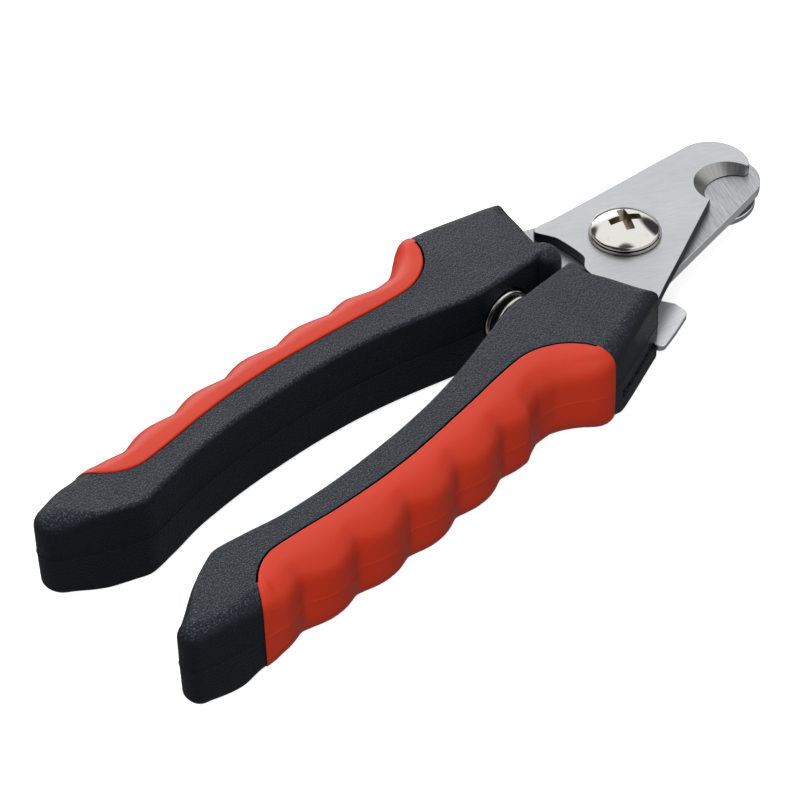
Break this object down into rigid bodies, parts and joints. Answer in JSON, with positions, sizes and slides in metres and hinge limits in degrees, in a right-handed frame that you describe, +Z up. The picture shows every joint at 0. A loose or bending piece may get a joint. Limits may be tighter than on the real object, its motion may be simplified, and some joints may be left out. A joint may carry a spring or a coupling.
{
  "type": "pet nail trimmer",
  "caption": "Plier-type pet nail trimmer: notched steel blades on a screw pivot, swinging guard plate, coil spring, black handles with scalloped red grips.",
  "frame": {"origin": "middle of the bounding box's underside, on the surface the trimmer lies on; the pivot axis is 47.2 mm along +X from it", "axes": "+X towards the blades' tips, +Y from the near handle to the far handle, +Z up along the pivot axis"},
  "size_m": [0.1626, 0.0508, 0.0172],
  "materials": {
    "black_plastic": "fine-grained matte",
    "red_rubber": "smooth satin",
    "blade_steel": "satin ground",
    "guard_steel": "satin",
    "washer_steel": "plain zinc",
    "nickel_plate": "polished nickel",
    "spring_wire": "bright drawn wire"
  },
  "bodies": {
    "lower": {"far_handle_core": "black_plastic", "far_grip": "red_rubber", "lower_blade": "blade_steel", "pivot_screw": "nickel_plate", "pivot_nut": "nickel_plate", "head_washer": "nickel_plate", "lock_washer": "washer_steel", "guard_washer": "washer_steel", "handle_spring": "spring_wire"},
    "upper": {"near_handle_core": "black_plastic", "near_grip": "red_rubber", "upper_blade": "blade_steel"},
    "guard": {"guard_plate": "guard_steel"}
  },
  "joints": [
    {"name": "handle_pivot", "type": "hinge", "parent": "lower", "child": "upper", "pos_m": [0.0472, 0, 0.0104], "axis": [0, 0, 1], "range_deg": [0, 18], "stiffness_Nm_per_rad": 0.3, "springref_deg": 25.21, "deforming": ["handle_spring"]},
    {"name": "guard_swing", "type": "hinge", "parent": "lower", "child": "guard", "pos_m": [0.0472, 0, 0.005], "axis": [0, 0, 1], "range_deg": [-22, 0]}
  ]
}
